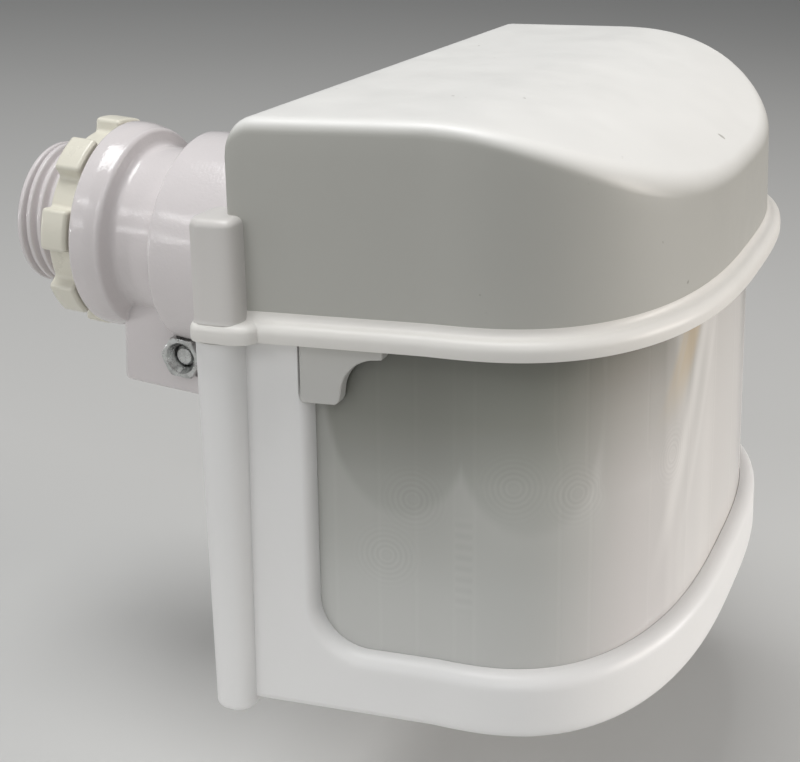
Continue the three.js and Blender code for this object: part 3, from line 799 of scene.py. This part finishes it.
def fresnel_lens():
    """A bent milky sheet; its UV map runs from side to side and from the sill up to the hood."""
    stations = half_stations(10, 56, -23.0)
    heights = spread(LENS_LOW, LENS_HIGH, 24)
    outer = [whole([body_point(s, WALL + 0.06, z) for s in stations]) for z in heights]
    inner = [whole([body_point(s, WALL + 1.2, z) for s in stations]) for z in (LENS_HIGH, LENS_LOW)]
    skin = Skin()
    skin.grid(outer)
    skin.grid([outer[-1]] + inner + [outer[0]])
    for end in (0, -1):
        skin.grid([[outer[0][end], inner[1][end]], [outer[-1][end], inner[0][end]]])
    lens = skin.make("fresnel_lens", HEAD_FRAME, LENS_PLASTIC, "head")
    map_lens(lens.data, outer[0])
    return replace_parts(lens, "fresnel_lens")


def map_lens(mesh, path):
    """u is the distance along the lens as a share of the whole, v the height."""
    reach = [0.0]
    for a, b in zip(path, path[1:]):
        reach.append(reach[-1] + math.dist(a[:2], b[:2]))
    bearings = [math.atan2(y - NOSE_START, x) for x, y, _ in path]
    back = HEAD_FRAME.inverted()
    layer = mesh.uv_layers.new(name="lens")
    marks = []
    for vertex in mesh.vertices:
        x, y, z = (back @ vertex.co) / MM
        bearing = math.atan2(y - NOSE_START, x)
        nearest = min(range(len(path)), key=lambda i: abs(math.remainder(bearings[i] - bearing, TURN)))
        marks.append((reach[nearest] / reach[-1], (z - LENS_LOW) / (LENS_HIGH - LENS_LOW)))
    for loop in mesh.loops:
        layer.data[loop.index].uv = marks[loop.vertex_index]


# ---- back plate and ball ----


def rear_cover():
    """Back plate with the swivel ball and its neck, bored for the leads."""
    def plate(wide, top, corner):
        step, low = BOSS_TOP + 0.5, BASE_Z + 0.5
        beside_column = COLUMN_X - COLUMN_R - 0.5
        beside_boss = COLUMN_X - BOSS_R - 0.8
        half = [(beside_column + COLUMN_LEAN * (RIM_Z - low), low), (beside_column, RIM_Z - 0.6)]
        half += [(beside_boss, RIM_Z - 0.6), (beside_boss, step), (wide, step)]
        for a in spread(0, math.pi / 2, 10):
            half.append((wide - corner + corner * math.cos(a), top - corner + corner * math.sin(a)))
        return half + [(-x, z) for x, z in reversed(half)]

    loop = plate(40.6, HOOD_TOP - 3.0, 6.0)
    inner_lip = plate(40.9, HOOD_TOP - 5.0, 3.0)
    skin = Skin()
    rows = [[(x, COVER_FRONT - depth, z) for x, z in inner_lip] for depth in (1.3, 0.0)]
    for depth, shrink in ((COVER_REAR - COVER_FRONT, 0.0), (0.7, 0.0), (0.35, 0.1), (0.1, 0.35), (0.0, 0.7)):
        y = COVER_REAR - depth
        rows.append([(x - math.copysign(shrink, x), y, z - math.copysign(shrink, z)) for x, z in loop])
    skin.grid(rows, wrap=True)
    foot_r = 9.3
    circle = [TURN * i / 96 for i in range(96)]
    foot = [(foot_r * math.cos(a), COVER_REAR, foot_r * math.sin(a)) for a in circle]
    skin.flat(rows[-1], foot)
    skin.flat(rows[0])
    neck_r, mouth_r, lead_r = 5.5, 3.7, 3.4
    profile = [(foot_r, COVER_REAR), (8.7, COVER_REAR + 0.25), (8.5, COVER_REAR + 0.8), (8.5, -13.6)]
    profile += arc(8.1, -13.6, 0.4, 0, 90) + [(6.1, -13.2), (5.6, -12.9), (neck_r, -12.4)]
    start, end = -math.acos(neck_r / BALL_R), math.acos(mouth_r / BALL_R)
    profile += [(BALL_R * math.cos(a), BALL_R * math.sin(a)) for a in spread(start, end, 30)]
    profile += [(lead_r, 10.0), (lead_r, -17.0)]
    skin.grid(turned_y(profile), wrap=True)
    cover = skin.make("rear_cover", HEAD_FRAME, BODY_PLASTIC, "head")
    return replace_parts(cover, "rear_cover")


# ---- arm ----


def boolean(piece, cutter, operation):
    modifier = piece.modifiers.new("cut", "BOOLEAN")
    modifier.operation = operation
    modifier.solver = "EXACT"
    modifier.object = cutter


def apply_modifiers(piece):
    """Replaces the piece's mesh by what its modifiers make of it."""
    bpy.context.view_layer.update()
    depsgraph = bpy.context.evaluated_depsgraph_get()
    made = bpy.data.meshes.new_from_object(piece.evaluated_get(depsgraph))
    piece.modifiers.clear()
    piece.data = made
    made.polygons.foreach_set("use_smooth", [True] * len(made.polygons))
    made.set_sharp_from_angle(angle=math.radians(35))


def block(name, x, y, z, round_edges=0.0):
    """A cutter or plate between those limits, in millimetres, in the row frame."""
    skin = Skin()
    corners = ((y[0], z[0]), (y[1], z[0]), (y[1], z[1]), (y[0], z[1]))
    near, far = [[(px, py, pz) for py, pz in corners] for px in x]
    skin.grid([near, far], wrap=True)
    skin.flat(near)
    skin.flat(far)
    piece = skin.make(name, ROW_FRAME, ARM_PLASTIC, "arm")
    if round_edges:
        soften(piece, round_edges, 3)
        apply_modifiers(piece)
    return piece


def arm_profile():
    """The arm's outline from the stem's bore, over flange, neck and cup, and back inside the cup."""
    points = [(WIRE_BORE_R, 3.0), (THREAD_ROOT_R - 0.2, 3.0), (THREAD_ROOT_R - 0.2, FLANGE_Y)]
    points += [(13.2, FLANGE_Y)] + arc(FLANGE_R - 0.6, FLANGE_Y - 0.6, 0.6, 90, 0, 5)
    points += [(FLANGE_R, -6.4), (FLANGE_R - 0.15, -7.3), (FLANGE_R - 0.4, -8.2)]
    points += arc(FLANGE_R - 1.25, -8.45, 0.8, 5, -80, 6)
    points += [(NECK_R + 0.8, -9.5), (NECK_R + 0.3, -9.75), (NECK_R + 0.05, -10.2), (NECK_R, -10.7)]
    points += [(NECK_R, -15.5), (NECK_R + 0.08, -15.75), (NECK_R + 0.35, -15.95), (NECK_R + 0.45, -16.2)]
    points += [(NECK_R + 0.5, CUP_Y + 0.3), (NECK_R + 0.8, CUP_Y)]
    points += [(14.2, CUP_Y - 0.05)] + arc(14.35, CUP_Y - 0.8, 0.75, 90, 10, 5)
    points += [(CUP_R, CUP_Y - 2.6), (CUP_R, MOUTH_Y + 2.6)]
    points += arc(CUP_R - 2.4, MOUTH_Y + 2.5, 2.4, 0, -80, 7)
    lip = math.asin(-MOUTH_AHEAD / CAVITY_R)
    bore = math.acos(WIRE_BORE_R / CAVITY_R)
    points += [(CAVITY_R * math.cos(a), BALL_Y + CAVITY_R * math.sin(a)) for a in spread(lip, bore, 24)]
    return points + [points[0]]


def clamp_cutter(name, profile, sides):
    """A cutter turned about the clamp screw's axis, from its (radius, x) points."""
    skin = Skin()
    skin.grid(turned_x(profile, sides, (CLAMP_Y, CLAMP_Z)), wrap=True)
    return skin.make(name, ROW_FRAME, ARM_PLASTIC, "arm")


def swivel_arm():
    """Stem, flange, neck and cup turned in one, with the two clamp ears joined on and the slit cut."""
    skin = Skin()
    skin.grid(turned_y(arm_profile(), 128), wrap=True)
    arm = skin.make("swivel_arm", ROW_FRAME, ARM_PLASTIC, "arm")
    ears = block("ears", (-EAR_FACE, EAR_FACE), (EAR_BACK, EAR_FRONT), (EAR_BOTTOM, -8.5), 1.0)
    hollow = Skin()
    inside = [(0.0, BALL_Y - CAVITY_R)]
    inside += [(CAVITY_R * math.cos(a), BALL_Y + CAVITY_R * math.sin(a)) for a in spread(-1.5, 1.5, 40)]
    inside.append((0.0, BALL_Y + CAVITY_R))
    hollow.grid(turned_y(inside), wrap=True)
    cavity = hollow.make("cavity", ROW_FRAME, ARM_PLASTIC, "arm")
    slit = block("slit", (-SLIT / 2, SLIT / 2), (MOUTH_Y - 2, -14), (-30, -5))
    gap = block("gap", (-SLIT / 2, SLIT / 2), (-16, -4), (-30, -13.2))
    bore_r, seat_r, sink_r, sunk = CLAMP_R + 0.2, HEX_R + 0.3, 3.9, EAR_FACE - NUT_SINK
    bore = clamp_cutter("bore", [(0, -20), (bore_r, -20), (bore_r, 20), (0, 20)], 48)
    seat = clamp_cutter("seat", [(0, -20), (seat_r, -20), (seat_r, -sunk), (0, -sunk)], 6)
    sink = clamp_cutter("sink", [(0, 20), (sink_r, 20), (sink_r, sunk), (0, sunk)], 48)
    boolean(ears, cavity, "DIFFERENCE")
    apply_modifiers(ears)
    boolean(arm, ears, "UNION")
    for cutter in (slit, gap, bore, seat, sink):
        boolean(arm, cutter, "DIFFERENCE")
    apply_modifiers(arm)
    for helper in (ears, cavity, slit, gap, bore, seat, sink):
        bpy.data.objects.remove(helper)
    arm.modifiers.new("even", "WEIGHTED_NORMAL").keep_sharp = True
    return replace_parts(arm, "swivel_arm")


def stem_thread():
    """The stem's outer end with its helical thread, chamfered at the tip."""
    sides = 144
    low, high, step = FLANGE_Y + 0.1, STEM_END_Y, 0.11

    def radius(angle, y):
        phase = (y / THREAD_PITCH + angle / TURN) % 1.0
        flank = min(phase, 1 - phase) * 2
        rise = min(1.0, max(0.0, (flank - 0.2) / 0.5))
        lead = min(1.0, max(0.0, (y - STEM_END_Y + 1.3) / 0.4))
        rise = max(rise, lead)
        rise = rise * rise * (3 - 2 * rise)
        ahead = max(0.0, y - STEM_END_Y + 0.6)
        rounding = 0.6 - math.sqrt(max(0.0, 0.36 - ahead**2))
        return THREAD_ROOT_R + (THREAD_R - THREAD_ROOT_R) * rise - rounding

    levels = spread(low, high, int((high - low) / step))
    angles = spread(0, TURN, sides + 1)[:-1]
    rows = [[(WIRE_BORE_R * math.cos(a), low, WIRE_BORE_R * math.sin(a)) for a in angles]]
    for y in levels:
        rows.append([(radius(a, y) * math.cos(a), y, radius(a, y) * math.sin(a)) for a in angles])
    for r, y in ((WIRE_BORE_R + 0.5, high), (WIRE_BORE_R, high - 0.5), (WIRE_BORE_R, low)):
        rows.append([(r * math.cos(a), y, r * math.sin(a)) for a in angles])
    skin = Skin()
    skin.grid(rows, wrap=True)
    return skin.make("stem_thread", ROW_FRAME, ARM_PLASTIC, "arm", sharp=60)


def lock_nut():
    """A ring with slightly crowned lugs round it, threaded on the stem."""
    outline = []
    reach = math.sqrt(NUT_R**2 - (LUG_WIDTH / 2) ** 2)
    half_gap = math.asin(LUG_WIDTH / 2 / NUT_R)
    for i in range(LUG_COUNT):
        middle = TURN * i / LUG_COUNT + LUG_PHASE
        across = Vector((math.cos(middle), -math.sin(middle)))
        out = Vector((math.sin(middle), math.cos(middle)))
        for side, r in ((-1, reach), (-1, LUG_R), (-0.5, LUG_R + 0.22), (0, LUG_R + 0.3), (0.5, LUG_R + 0.22),
                        (1, LUG_R), (1, reach)):
            outline.append(tuple(across * side * LUG_WIDTH / 2 + out * r))
        for a in spread(middle + half_gap, middle + TURN / LUG_COUNT - half_gap, 8)[1:-1]:
            outline.append((NUT_R * math.sin(a), NUT_R * math.cos(a)))
    bore_r = THREAD_R + 0.25
    bore = [(bore_r * math.sin(a), bore_r * math.cos(a)) for a in spread(0, TURN, 97)[:-1]]
    skin = Skin()
    faces = []
    for y in (0.0, -NUT_THICK):
        rim, hole = [[(x, y, z) for x, z in loop] for loop in (outline, bore)]
        skin.flat(rim, hole)
        faces.append((rim, hole))
    skin.grid([faces[0][0], faces[1][0]], wrap=True)
    skin.grid([faces[0][1], faces[1][1]], wrap=True)
    nut = soften(skin.make("lock_nut", ROW_FRAME, NUT_PLASTIC, "nut", merge=True), 0.55, 4, 40)
    nut.modifiers["edge"].use_clamp_overlap = False
    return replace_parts(nut, "lock_nut")


def clamp_nut():
    """A chamfered hexagon nut with a threaded bore."""
    base = NUT_SINK - EAR_FACE - 0.3
    face = base - HEX_THICK
    sides = 96

    def hexagon(a):
        return HEX_R * math.cos(math.pi / 6) / math.cos((a % (math.pi / 3)) - math.pi / 6)

    def ring(x, limit):
        out = []
        for a in spread(0, TURN, sides + 1)[:-1]:
            r = min(hexagon(a), limit)
            out.append((x, CLAMP_Y + r * math.cos(a), CLAMP_Z + r * math.sin(a)))
        return out

    flat_r = HEX_R * math.cos(math.pi / 6)
    rows = [ring(base, 1.7), ring(base, 9)]
    rows += [ring(face + 0.2 * (1 - w), HEX_R - (HEX_R - flat_r) * 0.55 * w) for w in spread(0, 1, 4)]
    rows += [ring(face - 0.04, flat_r - 0.1), ring(face - 0.04, 2.3), ring(face + 0.15, 2.2)]
    rows += [ring(x, CLAMP_R + 0.3 + 0.12 * (i % 2)) for i, x in enumerate(spread(face + 0.85, base, 9))]
    skin = Skin()
    skin.grid(rows, wrap=True)
    nut = skin.make("clamp_nut", ROW_FRAME, ZINC, "arm", sharp=28)
    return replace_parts(nut, "clamp_nut")


def clamp_screw():
    """Pan-head screw along X; its end shows inside the nut."""
    seat = EAR_FACE - NUT_SINK + 1.2
    end = -EAR_FACE - 0.8
    profile = [(0.0, end + 0.05), (0.5, end), (1.15, end + 0.05), (CLAMP_R - 0.05, end + 0.35)]
    profile += [(CLAMP_R - 0.12 * (i % 2), x) for i, x in enumerate(spread(end + 0.5, seat, 70))]
    profile += [(2.7, seat), (3.0, seat + 0.25), (3.0, seat + 0.9)]
    profile += [(3.0 * math.cos(a), seat + 0.9 + 1.3 * math.sin(a)) for a in spread(0, math.pi / 2, 8)[1:]]
    skin = Skin()
    skin.grid(turned_x(profile, 48, (CLAMP_Y, CLAMP_Z)), wrap=True)
    screw = skin.make("clamp_screw", ROW_FRAME, ZINC, "screw")
    slot = block("driver_slot", (seat + 1.1, seat + 4), (CLAMP_Y - 4, CLAMP_Y + 4),
                 (CLAMP_Z - 0.4, CLAMP_Z + 0.4))
    boolean(screw, slot, "DIFFERENCE")
    apply_modifiers(screw)
    bpy.data.objects.remove(slot)
    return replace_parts(screw, "clamp_screw")


# ---- nodes whose CAD shape is right ----

CARRIED = {
    "clamp_washer": ZINC,
    "ball_seat": SEAT_NYLON,
    "lens_retainer": TRIM_PLASTIC,
    "hood_gasket": GASKET_RUBBER,
    "circuit_board": SOLDER_MASK,
    "pir_sensor": SENSOR_CAN,
    "pir_spacer": BLACK_PLASTIC,
    "relay": RELAY_CASE,
    "film_capacitor": FILM_CASE,
    "electrolytic_capacitor": SLEEVE,
    "photocell": PHOTOCELL,
    "status_led": LED_RED,
    "control_board": SOLDER_MASK,
    "range_potentiometer": POT_CASE,
    "range_knob": BLACK_PLASTIC,
    "time_switch": BLACK_PLASTIC,
    "time_slider": TRIM_PLASTIC,
}


def finish_carried_nodes():
    """Gives each CAD node that stays its material and softly rounded edges."""
    for name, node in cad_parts.items():
        if node.hide_render:
            continue
        material = CARRIED.get(name, ZINC)
        if not node.material_slots:
            node.data.materials.append(material)
        for slot in node.material_slots:
            slot.material = material
        soften(node, 0.15, 2, 40)


# ---- stage ----


# Metres between the head at rest and the floor, so that the floor clears it when it is tilted right down
FLOOR_DROP = 0.027


def build_stage():
    """A pale floor below the hanging head."""
    low = cad_bounds[0][2] - FLOOR_DROP
    mesh = bpy.data.meshes.new("floor")
    reach = 6.0
    mesh.from_pydata([(-reach, -reach, low), (reach, -reach, low), (reach, reach, low), (-reach, reach, low)],
                     [], [(0, 1, 2, 3)])
    floor = bpy.data.objects.new("floor", mesh)
    bpy.context.scene.collection.objects.link(floor)
    material, tree, principled = shader("floor_paper", Roughness=0.75)
    tone = ramp(tree, noise(tree, 3.0, 2.0), (0.3, (0.50, 0.50, 0.49)), (0.7, (0.52, 0.52, 0.51)))
    tree.links.new(tone, principled.inputs["Base Color"])
    mesh.materials.append(material)


def aim(light, place_at, target):
    light.location = place_at
    light.rotation_euler = (Vector(target) - Vector(place_at)).to_track_quat("-Z", "Y").to_euler()
    bpy.context.scene.collection.objects.link(light)


def area_light(name, place_at, target, size, power, colour=(1, 1, 1)):
    data = bpy.data.lights.new(name, "AREA")
    data.shape = "RECTANGLE"
    data.size, data.size_y = size
    data.energy = power
    data.color = colour
    aim(bpy.data.objects.new(name, data), place_at, target)


def spot_light(name, place_at, target, cone, power):
    data = bpy.data.lights.new(name, "SPOT")
    data.spot_size = math.radians(cone)
    data.spot_blend = 1.0
    data.shadow_soft_size = 0.05
    data.energy = power
    aim(bpy.data.objects.new(name, data), place_at, target)


def build_lights():
    scene = bpy.context.scene
    scene.view_settings.view_transform = "Standard"
    world = bpy.data.worlds.new("studio")
    world.use_nodes = True
    world.node_tree.nodes["Background"].inputs["Color"].default_value = (0.96, 0.98, 1.0, 1)
    world.node_tree.nodes["Background"].inputs["Strength"].default_value = 0.2
    scene.world = world
    centre = (0, -0.07, 0)
    area_light("overhead", (-0.03, 0.08, 0.62), centre, (0.34, 0.34), 3.15)
    area_light("front", (0.18, -0.66, 0.2), centre, (0.3, 0.3), 2.1, (1.0, 0.93, 0.87))
    area_light("key", (-0.42, -0.22, 0.46), centre, (0.3, 0.3), 0.45)
    area_light("glint", (-0.46, 0.2, 0.28), (0, 0, 0), (0.26, 0.006), 0.26)
    area_light("glint_low", (-0.5, 0.22, 0.08), (0, 0, 0), (0.26, 0.006), 0.18)
    spot_light("low_left", (-0.5, -0.14, 0.17), (-0.045, -0.066, -0.105), 23, 2.3)
    spot_light("low_front", (0.3, -0.54, 0.01), (0.0, -0.09, -0.085), 22, 4.0)
    spot_light("low_arm", (-0.28, 0.45, -0.04), (0.0, 0.0, -0.01), 10, 3.5)


# The camera, in metres in the row frame: one of several that fit the photograph's edges about as well,
# scaled by the stem's diameter
CAMERA_PLACE = (-0.171798, -0.1194232, 0.0600535)
CAMERA_RIGHT = (0.40445, -0.91351662, 0.043697)
CAMERA_UP = (0.32302, 0.18739248, 0.92765037)
FOCAL_MM = 64.458
SHIFT = (0.01655, -0.01715)


def build_camera():
    data = bpy.data.cameras.new("camera")
    data.sensor_fit = "HORIZONTAL"
    data.sensor_width = 36
    data.lens = FOCAL_MM
    data.shift_x, data.shift_y = SHIFT
    data.clip_start = 0.01
    right, up = Vector(CAMERA_RIGHT).normalized(), Vector(CAMERA_UP).normalized()
    back = right.cross(up).normalized()
    turn = Matrix((right, up, back)).transposed().to_4x4()
    camera = bpy.data.objects.new("camera", data)
    camera.matrix_world = Matrix.Translation(CAMERA_PLACE) @ turn
    bpy.context.scene.collection.objects.link(camera)
    bpy.context.scene.camera = camera


hood_shell()
hood_rim()
for side, end in ((-1, "left"), (1, "right")):
    hood_boss(side, f"hood_boss_{end}")
    hood_tab(side, f"hood_tab_{end}")
    corner_column(side, f"corner_column_{end}")
lower_housing()
fresnel_lens()
rear_cover()
swivel_arm()
stem_thread()
lock_nut()
clamp_nut()
clamp_screw()
finish_carried_nodes()
build_stage()
build_lights()
build_camera()
